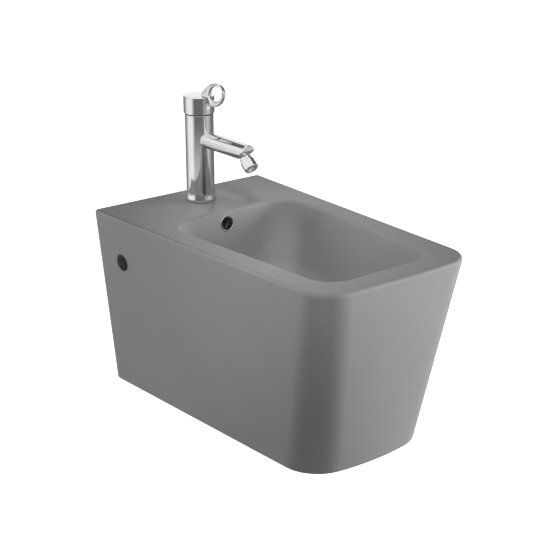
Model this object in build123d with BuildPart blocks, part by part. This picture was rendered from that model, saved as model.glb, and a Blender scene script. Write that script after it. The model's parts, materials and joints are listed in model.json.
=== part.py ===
from build123d import *
import os
from math import cos, radians, sin

os.makedirs("parts", exist_ok=True)

# Wall-hung bidet with a single-lever mixer. All sizes are millimetres.
# The origin lies in the plane of the wall, midway between the two wall studs that carry the
# ceramic. +Y goes into the wall, +Z is up, +X is to the right of someone facing the wall.

# Clearances and cutting overruns
overrun = 3.0  # how far every cut runs past the face that it opens
thread_gap = 0.1  # between a screwed or pushed-in piece and its hole
pivot_gap = 0.05  # running fit of a pin or plunger
turning_gap = 0.08  # running fit of the cartridge's turret
ball_gap = 0.3  # around the swivelling ball

# Ceramic body, plan at the rim and plan at the base
rim_width = 350.0  # across the back
rim_taper = 50.0  # how much narrower the front is, between its corners before they are rounded
rim_depth = 568.0  # from the wall to the front corners
rim_bow = 5.5  # how far the middle of the front stands out
rim_corner = 54.0
base_width = 289.0
base_taper = 44.4
base_undercut = 68.0  # how much less than the rim the base stands out from the wall
base_bow = 18.0
base_corner = 66.0
body_height = 316.0
rim_above_studs = 79.0
rim_edge_round = 5.0  # outer edge of the rim
base_edge_round = 3.0
back_edge_round = 8.0
shell_wall = 11.0
back_wall = 14.0
deck_thickness = 15.0
base_plate = 11.0

deck_z = rim_above_studs
base_z = deck_z - body_height
rim_front_width = rim_width - rim_taper
base_front_width = base_width - base_taper
base_depth = rim_depth - base_undercut

# Bowl, from its sharp outline at the rim to the edge of its floor
deck_depth = 148.0  # from the wall to the bowl
front_rim = 43.0  # width of the rim in front of the bowl
side_rim = 46.5  # and beside it, at the back
side_rim_front = 44.0
back_slope = 20.0  # how far each wall leans in on its way down
side_slope = 30.5
front_slope = 50.0
bowl_back_corner = 48.0
bowl_front_corner = 40.0
floor_corner = 50.0
bowl_depth = 132.0
bowl_foot_round = 44.0  # where the walls turn into the floor
bowl_rim_round = 6.0
bowl_wall = 10.0

bowl_back = deck_depth  # distances from the wall
bowl_front = rim_depth - front_rim
bowl_back_half = rim_width / 2 - side_rim
bowl_front_half = rim_front_width / 2 - side_rim_front
floor_back = bowl_back + back_slope
floor_front = bowl_front - front_slope
floor_back_half = bowl_back_half - side_slope
floor_front_half = bowl_front_half - side_slope
floor_z = deck_z - bowl_depth

# Drain and overflow
drain_y = -272.0
dish_radius = 68.0
dish_drop = 8.0
seat_radius = 33.0
seat_drop = 5.0
drain_radius = 22.5
drain_boss_radius = 36.0
drain_boss_drop = 30.0
overflow_drop = 21.0  # from the rim down to the overflow hole
overflow_side = -8.0  # from the middle plane, towards the left
overflow_hole_radius = 12.0
duct_half = 20.0
duct_wall = 7.0
channel_depth = 14.0

# Access holes, fixing bosses and wall openings of the ceramic
stud_spacing = 180.0
stud_hole_radius = 10.0
stud_boss_radius = 19.0
access_from_wall = 68.5
access_radius = 15.0
access_wall = 8.0  # around the bore and behind its blind end
window_half = 58.0  # upper window, for the supplies
window_top = 34.0  # above the studs
low_window_half = 104.0
low_window_top = -42.0
window_sill = 34.0  # height of the lower edge above the base
window_round = 16.0
service_half = 62.0  # opening in the underside, for the trap and the supplies
service_back = 36.0
service_front = 330.0
service_round = 24.0

# Overflow ring
ring_flange_radius = 13.6
ring_flange = 1.2
ring_bore_radius = 11.0
ring_sleeve_length = 12.0

# Concealed fixing
barrel_length = 34.0
barrel_play = 1.0  # behind its inner end
barrel_flat = 8.0  # from its axis to the flat that faces the wall
stud_clear_radius = 6.6
clamp_radius = 5.0
clamp_length = 12.0
clamp_socket = 2.9  # hexagon, over the corners
clamp_socket_depth = 5.0
barrel_start = (stud_spacing - barrel_length) / 2  # distances from the middle
access_end = barrel_start - barrel_play
access_boss_end = access_end - access_wall
access_boss_radius = access_radius + access_wall

# Waste
waste_tube_radius = 20.95
waste_bore_radius = 18.0
waste_flange_radius = 31.5
waste_flange = 3.0
waste_length = 92.0
waste_tail = 40.0  # the plain lower end, for the trap
waste_tail_radius = 20.5
slot_width = 16.0
slot_height = 12.0
slot_top_drop = 7.0  # below the underside of the flange
spider_drop = 44.0
spider_height = 5.0
spider_arm = 4.0
spider_hub_radius = 8.0
spider_thread_radius = 5.0
bottom_seal_height = 8.0
bottom_seal_radius = 31.0
waste_nut_height = 13.0
waste_nut_radius = 33.0
cartridge_tube_radius = 6.5
latch_height = 34.0
latch_cap = 4.0  # thickness of its closed foot
plunger_radius = 3.0
plug_travel = 7.0
plug_radius = 30.0
plug_edge = 3.0
plug_crown = 3.0
plug_boss_radius = 8.0
plug_boss = 4.0
plug_socket = 1.2  # how far the plunger reaches into the cap above its underside
plug_seal_outer = 28.0
plug_seal_inner = 24.0
plug_seal_height = 1.6
plug_seat_gap = 0.1

# Mixer column; heights are above the deck, forward distances are from the column's axis
tap_y = -66.0
seal_height = 0.8
seal_radius = 24.6
seal_bore = 19.6
foot_radius = 26.0
foot_height = 5.0
flare_height = 18.0
column_radius = 24.0
column_top = 150.3
column_chamfer = 0.8
recess_radius = 18.6
recess_top = 15.0
chamber_radius = 17.6
chamber_floor = 118.5
nut_thread_radius = 20.3
supply_radius = 3.6  # the two supplies inside the column
supply_side = 8.5
supply_back = 6.0
inlet_radius = 4.6
inlet_depth = 12.0
outlet_radius = 4.0
outlet_forward = 9.0
spout_z = 108.2
spout_radius = 13.4
spout_bore = 8.0
spout_bore_start = 1.5
socket_length = 46.0
socket_bore_radius = 10.5
socket_bore_start = 30.0
seam_chamfer = 0.4  # on the spout's rear edge
deck_hole_radius = 17.5

# Mixer fixing
stud_radius = 4.0
stud_forward = 10.0
stud_up = 12.0  # into the column above its recess
stud_down = 62.0  # below the deck's top
horseshoe_radius = 24.0
horseshoe_gap = 28.0
horseshoe_gap_end = 3.0
gasket_thickness = 3.0
washer_thickness = 2.5
tap_nut_radius = 7.5  # over the corners
tap_nut_height = 14.0

# Cartridge
pivot_z = 131.0
cartridge_top = 140.0
cartridge_neck_radius = 15.4
cartridge_neck_top = 144.0
turret_radius = 12.5
turret_foot = 122.5
turret_top = 145.5
turret_slot_foot = 124.4
stem_width = 8.0
stem_depth = 9.0
stem_foot = 126.6
stem_top = 174.5
stem_slack = 0.3
pin_radius = 1.5
pin_length = 21.0
cartridge_nut_top = 145.0
cover_top = 150.9
cover_bore = 13.5

# Handle
cap_radius = 26.0
cap_wall = 2.4
cap_foot = 152.3
cap_top = 181.0
cap_plate = 4.0
cap_edge = 0.7
hub_radius = 8.0
hub_foot = 156.2
screw_z = 163.5
screw_radius = 2.4
screw_length = 6.0
screw_socket = 1.2
index_hole_radius = 3.0
index_plug_length = 2.8
index_stand = 0.3

# Ring lever, an upright plate in the middle plane
lever_thickness = 7.0
lever_edge = 1.2
loop_forward = 46.0  # forward of the column's axis
loop_z = 188.4
loop_long = 26.8
loop_short = 19.0
loop_angle = 23.0
hole_forward = 50.0
hole_z = 191.4
hole_long = 18.6
hole_short = 12.2
hole_angle = 23.0
notch_forward = 28.6
root_back = 11.5
root_rise = 5.5  # of its rear end above the cap
root_crest_forward = 31.0
root_crest_rise = 21.6
tenon_radius = 2.4
tenon_forward = 18.0
tenon_length = 3.6

# Spout end and swivel aerator; reaches are measured along the aerator from the ball's centre
spout_end = 135.6
nose_round = 2.0
ball_forward = 121.3
ball_drop = 4.3  # below the spout's axis
seat_angle = 37.0  # of the seat's axis, forward from straight down
swivel_angle = 49.0  # of the aerator's axis
seat_reach = 1.9  # from the ball's centre to the slanted end of the spout
ball_radius = 4.8
retainer_radius = 6.2
retainer_start = -2.0
retainer_end = 3.4
retainer_lip_radius = 3.4
passage_radius = 2.5
passage_length = 12.0
ball_neck_radius = 2.2
ball_bore = 1.3
ball_neck_end = 8.4
housing_radius = 9.9
housing_crown_radius = 8.5
housing_start = 6.0
housing_shoulder = 7.5
housing_ceiling = 8.6
housing_end = 14.0
housing_bore = 7.4
skirt_radius = 9.0
skirt_end = 25.0
screw_ring_radius = 11.8
screw_ring_round = 3.0
screw_ring_end = 30.9
ring_lip_start = 29.3
ring_lip_bore = 7.8
gasket_height = 1.2
gasket_bore = 6.2
grid_bar = 0.9
grid_pitch = 3.2
grid_count = 5
edge_break = 0.6


def upright(y, z):
    """A plane that faces the room: its x runs across, its y runs up."""
    return Plane(origin=(0, y, z), x_dir=(1, 0, 0), z_dir=(0, -1, 0))


def lengthwise(y, z, y_part, z_part, x=0):
    """A plane whose y runs along a direction in the middle plane of the object, or beside it."""
    return Plane(origin=(x, y, z), x_dir=(1, 0, 0), z_dir=(0, -z_part, y_part))


def turn(points, plane, mode=Mode.ADD):
    """Revolve a half profile about the upright axis of its plane."""
    with BuildSketch(plane) as profile:
        with BuildLine():
            Polyline(*points, close=True)
        make_face()
    revolve(profile.sketch, axis=Axis(plane.origin, plane.y_dir), mode=mode)


def tube(outer, inner, low, high):
    """Half profile of a ring or sleeve."""
    return [(inner, low), (outer, low), (outer, high), (inner, high)]


def save(piece, name):
    piece.part.label = name
    export_step(piece.part, f"parts/{name}.step")


def casting_plan(drop, inset, back):
    """Plan of the casting at a depth below the rim, drawn in by a wall, from a distance off the wall."""
    share = drop / body_height
    half_back = (rim_width + (base_width - rim_width) * share) / 2 - inset
    half_front = (rim_front_width + (base_front_width - rim_front_width) * share) / 2 - inset
    depth = rim_depth + (base_depth - rim_depth) * share - inset
    bow = rim_bow + (base_bow - rim_bow) * share
    corner = rim_corner + (base_corner - rim_corner) * share - inset
    half_back += (half_front - half_back) * back / depth
    with BuildLine() as outline:
        Polyline((-half_front, -depth), (-half_back, -back), (half_back, -back), (half_front, -depth))
        ThreePointArc((half_front, -depth), (0, -depth - bow), (-half_front, -depth))
    make_face(outline.edges())
    fillet(vertices().group_by(Axis.Y)[0], radius=corner)


def bowl_plan(half_back, half_front, back, front, back_corner, front_corner):
    """Rounded plan of the bowl, between two distances from the wall."""
    with BuildLine() as outline:
        Polyline(
            (-half_back, -back), (half_back, -back), (half_front, -front), (-half_front, -front),
            close=True,
        )
    make_face(outline.edges())
    fillet(vertices().group_by(Axis.Y)[0], radius=front_corner)
    fillet(vertices().group_by(Axis.Y)[-1], radius=back_corner)


def bowl_wall_y(drop):
    """Where the bowl's back wall is, at a depth below the rim."""
    return -bowl_back - (floor_back - bowl_back) * drop / bowl_depth


# The hollow of the bowl, with its dish and the seat of the waste
with BuildPart() as bowl_space:
    with BuildSketch(Plane.XY.offset(deck_z)):
        bowl_plan(
            bowl_back_half, bowl_front_half, bowl_back, bowl_front,
            bowl_back_corner, bowl_front_corner,
        )
    with BuildSketch(Plane.XY.offset(floor_z)):
        bowl_plan(floor_back_half, floor_front_half, floor_back, floor_front, floor_corner, floor_corner)
    loft(ruled=True)
    fillet(faces().sort_by(Axis.Z)[0].edges(), radius=bowl_foot_round)
    turn(
        [
            (0, overrun),
            (dish_radius, overrun),
            (dish_radius, 0),
            (seat_radius, -dish_drop),
            (0, -dish_drop),
        ],
        upright(drain_y, floor_z),
    )
    turn(tube(seat_radius, 0, -dish_drop - seat_drop, overrun), upright(drain_y, floor_z))
    turn(tube(drain_radius, 0, -dish_drop - drain_boss_drop - overrun, 0), upright(drain_y, floor_z))

# The bowl's outer skin, the drain boss and the overflow duct, solid for now
wall_slope = (floor_back - bowl_back) / bowl_depth
duct_foot_z = floor_z - dish_drop - drain_boss_drop
duct_back = bowl_wall + channel_depth + duct_wall
with BuildPart() as bowl_lining:
    with BuildSketch(Plane.XY.offset(deck_z)):
        bowl_plan(
            bowl_back_half + bowl_wall, bowl_front_half + bowl_wall,
            bowl_back - bowl_wall, bowl_front + bowl_wall,
            bowl_back_corner + bowl_wall, bowl_front_corner + bowl_wall,
        )
    with BuildSketch(Plane.XY.offset(floor_z - bowl_wall)):
        bowl_plan(
            floor_back_half + bowl_wall, floor_front_half + bowl_wall,
            floor_back - bowl_wall, floor_front + bowl_wall,
            floor_corner + bowl_wall, floor_corner + bowl_wall,
        )
    loft(ruled=True)
    fillet(faces().sort_by(Axis.Z)[0].edges(), radius=bowl_foot_round)
    turn(tube(drain_boss_radius, 0, -dish_drop - drain_boss_drop, 0), upright(drain_y, floor_z))
    with BuildSketch(Plane.YZ.offset(overflow_side - duct_half)):
        with BuildLine():
            Polyline(
                (-bowl_back, deck_z - deck_thickness / 2),
                (-bowl_back + duct_back, deck_z - deck_thickness / 2),
                (-floor_back + duct_back, floor_z),
                (-floor_back + duct_back, duct_foot_z),
                (drain_y, duct_foot_z),
                (drain_y, floor_z - bowl_wall / 2),
                (-floor_back, floor_z - bowl_wall / 2),
                close=True,
            )
        make_face()
    extrude(amount=2 * duct_half)

# The overflow's way down, from behind the overflow hole to the drain
overflow_plane = lengthwise(
    bowl_wall_y(overflow_drop), deck_z - overflow_drop, -1, wall_slope, overflow_side
)
channel_half = duct_half - duct_wall
channel_near = bowl_wall
channel_far = bowl_wall + channel_depth
with BuildPart() as overflow_space:
    with BuildSketch(Plane.YZ.offset(overflow_side - channel_half)):
        with BuildLine():
            Polyline(
                (bowl_wall_y(deck_thickness) + channel_near, deck_z - deck_thickness),
                (bowl_wall_y(deck_thickness) + channel_far, deck_z - deck_thickness),
                (-floor_back + channel_far, floor_z),
                (-floor_back + channel_far, duct_foot_z + duct_wall),
                (drain_y, duct_foot_z + duct_wall),
                (drain_y, duct_foot_z + duct_wall + channel_depth),
                (-floor_back + channel_near, duct_foot_z + duct_wall + channel_depth),
                (-floor_back + channel_near, floor_z),
                close=True,
            )
        make_face()
    extrude(amount=2 * channel_half)
    turn(tube(overflow_hole_radius, 0, -bowl_wall - channel_depth / 2, overrun), overflow_plane)

# Bosses for the concealed fixing, solid for now
with BuildPart() as fixing_bosses:
    for side in (-1, 1):
        with BuildSketch(Plane.YZ.offset(side * access_boss_end)):
            with Locations((-access_from_wall, 0)):
                Circle(access_boss_radius)
        extrude(amount=side * (rim_width / 2 - access_boss_end))
        with BuildSketch(upright(0, 0)):
            with Locations((side * stud_spacing / 2, 0)):
                Circle(stud_boss_radius)
        extrude(amount=access_from_wall)

# The hollow around the bowl, open to the wall
with BuildPart() as plumbing_space:
    with BuildSketch(Plane.XY.offset(deck_z - deck_thickness)):
        casting_plan(deck_thickness, shell_wall, back_wall)
    with BuildSketch(Plane.XY.offset(base_z + base_plate)):
        casting_plan(body_height - base_plate, shell_wall, back_wall)
    loft(ruled=True)
    add(bowl_lining.part, mode=Mode.SUBTRACT)
    add(fixing_bosses.part, mode=Mode.SUBTRACT)
    with BuildSketch(upright(overrun, 0)):
        with Locations((0, (window_top + base_z + window_sill) / 2)):
            Rectangle(2 * window_half, window_top - base_z - window_sill)
        with Locations((0, (low_window_top + base_z + window_sill) / 2)):
            Rectangle(2 * low_window_half, low_window_top - base_z - window_sill)
        fillet(vertices(), radius=window_round)
    extrude(amount=back_wall + 2 * overrun)
    with BuildSketch(Plane.XY.offset(base_z - overrun)):
        with Locations((0, -(service_back + service_front) / 2)):
            RectangleRounded(2 * service_half, service_front - service_back, service_round)
    extrude(amount=base_plate + 2 * overrun)

# Ceramic body
with BuildPart() as ceramic_body:
    with BuildSketch(Plane.XY.offset(deck_z)):
        casting_plan(0, 0, -overrun)
    with BuildSketch(Plane.XY.offset(base_z)):
        casting_plan(body_height, 0, -overrun)
    loft(ruled=True)
    split(bisect_by=Plane.XZ, keep=Keep.TOP)
    fillet(faces().sort_by(Axis.Y)[-1].edges().filter_by(Axis.X, reverse=True), radius=back_edge_round)
    top = faces().sort_by(Axis.Z)[-1]
    fillet(top.edges() - top.edges().filter_by(Axis.X), radius=rim_edge_round)
    bottom = faces().sort_by(Axis.Z)[0]
    fillet(bottom.edges() - bottom.edges().filter_by(Axis.X), radius=base_edge_round)
    add(bowl_space.part, mode=Mode.SUBTRACT)
    fillet(faces().sort_by(Axis.Z)[-1].inner_wires()[0].edges(), radius=bowl_rim_round)
    add(plumbing_space.part, mode=Mode.SUBTRACT)
    add(overflow_space.part, mode=Mode.SUBTRACT)
    with BuildSketch(Plane.XY.offset(deck_z + overrun)):
        with Locations((0, tap_y)):
            Circle(deck_hole_radius)
    extrude(amount=-deck_thickness - 2 * overrun, mode=Mode.SUBTRACT)
    for side in (-1, 1):
        with BuildSketch(Plane.YZ.offset(side * access_end)):
            with Locations((-access_from_wall, 0)):
                Circle(access_radius)
        extrude(amount=side * (rim_width / 2 - access_end + overrun), mode=Mode.SUBTRACT)
        with BuildSketch(upright(overrun, 0)):
            with Locations((side * stud_spacing / 2, 0)):
                Circle(stud_hole_radius)
        extrude(amount=overrun + access_from_wall, mode=Mode.SUBTRACT)
save(ceramic_body, "ceramic_body")

# Overflow ring, with a round lip on the bowl's wall
sleeve_radius = overflow_hole_radius - thread_gap
with BuildPart() as overflow_ring:
    with BuildSketch(overflow_plane):
        with BuildLine():
            Polyline(
                (ring_bore_radius, 0),
                (ring_bore_radius, -ring_sleeve_length),
                (sleeve_radius, -ring_sleeve_length),
                (sleeve_radius, 0),
                (ring_flange_radius, 0),
            )
            ThreePointArc(
                (ring_flange_radius, 0),
                ((ring_flange_radius + ring_bore_radius) / 2, ring_flange),
                (ring_bore_radius, 0),
            )
        make_face()
    revolve(axis=Axis(overflow_plane.origin, overflow_plane.y_dir))
save(overflow_ring, "overflow_ring")

# Fixing barrels, one per side, flattened towards the wall
barrel_radius = access_radius - thread_gap
with BuildPart() as fixing_barrels:
    for side in (-1, 1):
        with BuildSketch(Plane.YZ.offset(side * barrel_start)):
            with Locations((-access_from_wall, 0)):
                Circle(barrel_radius)
            with Locations((barrel_radius + barrel_flat - access_from_wall, 0)):
                Rectangle(2 * barrel_radius, 2 * barrel_radius, mode=Mode.SUBTRACT)
        extrude(amount=side * barrel_length)
        with BuildSketch(upright(0, 0)):
            with Locations((side * stud_spacing / 2, 0)):
                Circle(stud_clear_radius)
        extrude(amount=2 * access_from_wall, mode=Mode.SUBTRACT)
        with BuildSketch(Plane.YZ.offset(side * stud_spacing / 2)):
            with Locations((-access_from_wall, 0)):
                Circle(clamp_radius + thread_gap)
        extrude(amount=side * barrel_length, mode=Mode.SUBTRACT)
save(fixing_barrels, "fixing_barrels")

# Clamp screws, one per barrel, with a hexagon socket
clamp_start = stud_spacing / 2 + stud_clear_radius
with BuildPart() as clamp_screws:
    for side in (-1, 1):
        with BuildSketch(Plane.YZ.offset(side * clamp_start)):
            with Locations((-access_from_wall, 0)):
                Circle(clamp_radius)
        extrude(amount=side * clamp_length)
        with BuildSketch(Plane.YZ.offset(side * (clamp_start + clamp_length - clamp_socket_depth))):
            with Locations((-access_from_wall, 0)):
                RegularPolygon(clamp_socket, 6)
        extrude(amount=side * (clamp_socket_depth + overrun), mode=Mode.SUBTRACT)
save(clamp_screws, "clamp_screws")

# Waste body; its own heights are measured from the underside of the flange
waste_z = floor_z - dish_drop - waste_flange
waste_plane = upright(drain_y, waste_z)
spider_top = -spider_drop
spider_foot = spider_top - spider_height
with BuildPart() as waste_body:
    turn(
        [
            (waste_bore_radius, -waste_length),
            (waste_tail_radius, -waste_length),
            (waste_tail_radius, waste_tail - waste_length),
            (waste_tube_radius, waste_tail - waste_length),
            (waste_tube_radius, 0),
            (waste_flange_radius, 0),
            (waste_flange_radius, waste_flange - edge_break),
            (waste_flange_radius - edge_break, waste_flange),
            (waste_tube_radius, waste_flange),
            (waste_bore_radius, 0),
        ],
        waste_plane,
    )
    with BuildSketch(Plane.XY.offset(waste_z + spider_foot)):
        with Locations((0, drain_y)):
            Circle(spider_hub_radius)
            Rectangle(2 * waste_bore_radius + thread_gap, spider_arm)
            Rectangle(spider_arm, 2 * waste_bore_radius + thread_gap)
            Circle(spider_thread_radius, mode=Mode.SUBTRACT)
    extrude(amount=spider_height)
    slot_z = waste_z - slot_top_drop - slot_height / 2
    with BuildSketch(upright(drain_y + waste_tube_radius + overrun, slot_z)):
        SlotOverall(slot_width, slot_height)
    extrude(amount=2 * waste_tube_radius + 2 * overrun, mode=Mode.SUBTRACT)
save(waste_body, "waste_body")

# Seal under the flange
with BuildPart() as waste_top_seal:
    seal_bore_radius = waste_tube_radius + thread_gap
    turn(tube(waste_flange_radius, seal_bore_radius, waste_flange - seat_drop, 0), waste_plane)
save(waste_top_seal, "waste_top_seal")

# Seal below the drain boss
boss_foot = waste_flange - drain_boss_drop
with BuildPart() as waste_bottom_seal:
    turn(
        [
            (waste_tube_radius + thread_gap, boss_foot - bottom_seal_height),
            (bottom_seal_radius, boss_foot - bottom_seal_height),
            (bottom_seal_radius, boss_foot - bottom_seal_height / 2),
            (bottom_seal_radius - bottom_seal_height / 4, boss_foot),
            (waste_tube_radius + thread_gap, boss_foot),
        ],
        waste_plane,
    )
save(waste_bottom_seal, "waste_bottom_seal")

# Back nut of the waste
nut_foot = boss_foot - bottom_seal_height - waste_nut_height
with BuildPart() as waste_nut:
    with BuildSketch(Plane.XY.offset(waste_z + nut_foot)):
        with Locations((0, drain_y)):
            RegularPolygon(waste_nut_radius, 8)
            Circle(waste_tube_radius + thread_gap, mode=Mode.SUBTRACT)
    extrude(amount=waste_nut_height)
    chamfer(faces().sort_by(Axis.Z)[0].outer_wire().edges(), length=edge_break)
save(waste_nut, "waste_nut")

# Latch unit that stands in the spider
latch_bore = plunger_radius + pivot_gap
with BuildPart() as click_cartridge:
    turn(
        [
            (0, spider_foot),
            (spider_thread_radius - thread_gap, spider_foot),
            (spider_thread_radius - thread_gap, spider_top),
            (cartridge_tube_radius, spider_top),
            (cartridge_tube_radius, spider_top + latch_height),
            (latch_bore, spider_top + latch_height),
            (latch_bore, spider_top + latch_cap),
            (0, spider_top + latch_cap),
        ],
        waste_plane,
    )
save(click_cartridge, "click_cartridge")

# Plug, drawn in its open position
plug_foot = waste_flange + plug_seat_gap + plug_travel + plug_seal_height
with BuildPart() as plug_stem:
    turn(
        tube(plunger_radius, 0, spider_top + latch_cap + plug_travel + ball_gap, plug_foot + plug_socket),
        waste_plane,
    )
save(plug_stem, "plug_stem")

crown_radius = (plug_radius**2 + plug_crown**2) / (2 * plug_crown)
crown_middle = plug_crown - crown_radius + (crown_radius**2 - plug_radius**2 / 4) ** 0.5
with BuildPart() as plug_cap:
    with BuildSketch(waste_plane):
        with BuildLine():
            Polyline(
                (0, plug_foot + plug_edge + plug_crown),
                (0, plug_foot + plug_socket + thread_gap),
                (plunger_radius + thread_gap, plug_foot + plug_socket + thread_gap),
                (plunger_radius + thread_gap, plug_foot - plug_boss),
                (plug_boss_radius, plug_foot - plug_boss),
                (plug_boss_radius, plug_foot),
                (plug_radius, plug_foot),
                (plug_radius, plug_foot + plug_edge),
            )
            ThreePointArc(
                (plug_radius, plug_foot + plug_edge),
                (plug_radius / 2, plug_foot + plug_edge + crown_middle),
                (0, plug_foot + plug_edge + plug_crown),
            )
        make_face()
    revolve(axis=Axis(waste_plane.origin, waste_plane.y_dir))
save(plug_cap, "plug_cap")

with BuildPart() as plug_seal:
    turn(tube(plug_seal_outer, plug_seal_inner, plug_foot - plug_seal_height, plug_foot), waste_plane)
save(plug_seal, "plug_seal")

# Mixer body: column, flared foot and the socket that the spout screws on
tap_plane = upright(tap_y, deck_z)
flare_drop = flare_height - foot_height
flare_out = foot_radius - column_radius
flare_radius = (flare_out**2 + flare_drop**2) / (2 * flare_out)
flare_middle = column_radius + flare_radius - (flare_radius**2 - flare_drop**2 / 4) ** 0.5
with BuildPart() as tap_body:
    with BuildSketch(tap_plane):
        with BuildLine():
            Polyline(
                (column_radius, flare_height),
                (column_radius, column_top - column_chamfer),
                (column_radius - column_chamfer, column_top),
                (0, column_top),
                (0, recess_top),
                (recess_radius, recess_top),
                (recess_radius, seal_height),
                (foot_radius, seal_height),
                (foot_radius, foot_height),
            )
            ThreePointArc(
                (foot_radius, foot_height),
                (flare_middle, foot_height + flare_drop / 2),
                (column_radius, flare_height),
            )
        make_face()
    revolve(axis=Axis(tap_plane.origin, tap_plane.y_dir))
    with BuildSketch(upright(tap_y, deck_z + spout_z)):
        Circle(spout_radius)
    extrude(amount=socket_length)
    turn(tube(chamber_radius, 0, chamber_floor, column_top + overrun), tap_plane, mode=Mode.SUBTRACT)
    turn(tube(nut_thread_radius, 0, cartridge_top, column_top + overrun), tap_plane, mode=Mode.SUBTRACT)
    with BuildSketch(upright(tap_y - spout_bore_start, deck_z + spout_z)):
        Circle(spout_bore)
    extrude(amount=socket_length, mode=Mode.SUBTRACT)
    with BuildSketch(upright(tap_y - socket_bore_start, deck_z + spout_z)):
        Circle(socket_bore_radius)
    extrude(amount=socket_length, mode=Mode.SUBTRACT)
    with BuildSketch(Plane.XY.offset(deck_z + chamber_floor + overrun)):
        with Locations((0, tap_y - outlet_forward)):
            Circle(outlet_radius)
    extrude(amount=spout_z - chamber_floor - overrun, mode=Mode.SUBTRACT)
    for side in (-1, 1):
        with BuildSketch(Plane.XY.offset(deck_z + recess_top - overrun)):
            with Locations((side * supply_side, tap_y + supply_back)):
                Circle(inlet_radius)
        extrude(amount=inlet_depth + overrun, mode=Mode.SUBTRACT)
        with BuildSketch(Plane.XY.offset(deck_z + recess_top)):
            with Locations((side * supply_side, tap_y + supply_back)):
                Circle(supply_radius)
        extrude(amount=chamber_floor - recess_top + overrun, mode=Mode.SUBTRACT)
    with BuildSketch(Plane.XY.offset(deck_z + recess_top - overrun)):
        with Locations((0, tap_y - stud_forward)):
            Circle(stud_radius + thread_gap)
    extrude(amount=stud_up + overrun, mode=Mode.SUBTRACT)
save(tap_body, "tap_body")

# Seal between mixer and deck
with BuildPart() as base_seal:
    turn(tube(seal_radius, seal_bore, 0, seal_height), tap_plane)
save(base_seal, "base_seal")

# Threaded stud under the mixer
with BuildPart() as fixing_stud:
    with BuildSketch(Plane.XY.offset(deck_z - stud_down)):
        with Locations((0, tap_y - stud_forward)):
            Circle(stud_radius)
    extrude(amount=stud_down + recess_top + stud_up)
    chamfer(edges().sort_by(Axis.Z)[0], length=edge_break)
save(fixing_stud, "fixing_stud")


def horseshoe(low, thickness):
    """A plate under the deck, open towards the wall for the two supplies."""
    with BuildSketch(Plane.XY.offset(low)) as plate:
        with Locations((0, tap_y)):
            Circle(horseshoe_radius)
        with Locations((0, tap_y + horseshoe_radius - horseshoe_gap_end)):
            Rectangle(horseshoe_gap, 2 * horseshoe_radius, mode=Mode.SUBTRACT)
        with Locations((0, tap_y - stud_forward)):
            Circle(stud_radius + thread_gap, mode=Mode.SUBTRACT)
    extrude(plate.sketch, amount=thickness)


# Horseshoe gasket and washer, and the nut that clamps them
gasket_foot = deck_z - deck_thickness - gasket_thickness
washer_foot = gasket_foot - washer_thickness
with BuildPart() as horseshoe_gasket:
    horseshoe(gasket_foot, gasket_thickness)
save(horseshoe_gasket, "horseshoe_gasket")

with BuildPart() as horseshoe_washer:
    horseshoe(washer_foot, washer_thickness)
save(horseshoe_washer, "horseshoe_washer")

with BuildPart() as fixing_nut:
    with BuildSketch(Plane.XY.offset(washer_foot - tap_nut_height)):
        with Locations((0, tap_y - stud_forward)):
            RegularPolygon(tap_nut_radius, 6)
            Circle(stud_radius + thread_gap, mode=Mode.SUBTRACT)
    extrude(amount=tap_nut_height)
save(fixing_nut, "fixing_nut")

# Cartridge body, with the ports in its floor
with BuildPart() as cartridge_body:
    turn(
        [
            (0, chamber_floor),
            (chamber_radius - thread_gap, chamber_floor),
            (chamber_radius - thread_gap, cartridge_top),
            (cartridge_neck_radius, cartridge_top),
            (cartridge_neck_radius, cartridge_neck_top),
            (turret_radius + turning_gap, cartridge_neck_top),
            (turret_radius + turning_gap, turret_foot),
            (0, turret_foot),
        ],
        tap_plane,
    )
    with BuildSketch(Plane.XY.offset(deck_z + chamber_floor - overrun)):
        with Locations((-supply_side, tap_y + supply_back), (supply_side, tap_y + supply_back)):
            Circle(supply_radius)
        with Locations((0, tap_y - outlet_forward)):
            Circle(outlet_radius)
    extrude(amount=turret_foot - chamber_floor + overrun, mode=Mode.SUBTRACT)
save(cartridge_body, "cartridge_body")

# Turret of the cartridge, slotted for the stem
with BuildPart() as cartridge_turret:
    turn(tube(turret_radius, 0, turret_foot, turret_top), tap_plane)
    with BuildSketch(Plane.XY.offset(deck_z + turret_slot_foot)):
        with Locations((0, tap_y)):
            Rectangle(stem_width + 2 * stem_slack, 2 * turret_radius + overrun)
    extrude(amount=turret_top - turret_slot_foot + overrun, mode=Mode.SUBTRACT)
    with BuildSketch(Plane.YZ.offset(-turret_radius - overrun)):
        with Locations((tap_y, deck_z + pivot_z)):
            Circle(pin_radius + pivot_gap)
    extrude(amount=2 * turret_radius + 2 * overrun, mode=Mode.SUBTRACT)
save(cartridge_turret, "cartridge_turret")

# Pin that the stem tilts on
with BuildPart() as turret_pin:
    with BuildSketch(Plane.YZ.offset(-pin_length / 2)):
        with Locations((tap_y, deck_z + pivot_z)):
            Circle(pin_radius)
    extrude(amount=pin_length)
save(turret_pin, "turret_pin")

# Square stem of the lever
with BuildPart() as lever_stem:
    with BuildSketch(Plane.XY.offset(deck_z + stem_foot)):
        with Locations((0, tap_y)):
            Rectangle(stem_width, stem_depth)
    extrude(amount=stem_top - stem_foot)
    with BuildSketch(Plane.YZ.offset(-stem_width)):
        with Locations((tap_y, deck_z + pivot_z)):
            Circle(pin_radius + pivot_gap)
    extrude(amount=2 * stem_width, mode=Mode.SUBTRACT)
save(lever_stem, "lever_stem")

# Nut over the cartridge, and the polished ring over the nut
with BuildPart() as cartridge_nut:
    nut_bore_radius = cartridge_neck_radius + thread_gap
    turn(tube(nut_thread_radius - thread_gap, nut_bore_radius, cartridge_top, cartridge_nut_top), tap_plane)
save(cartridge_nut, "cartridge_nut")

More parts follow.
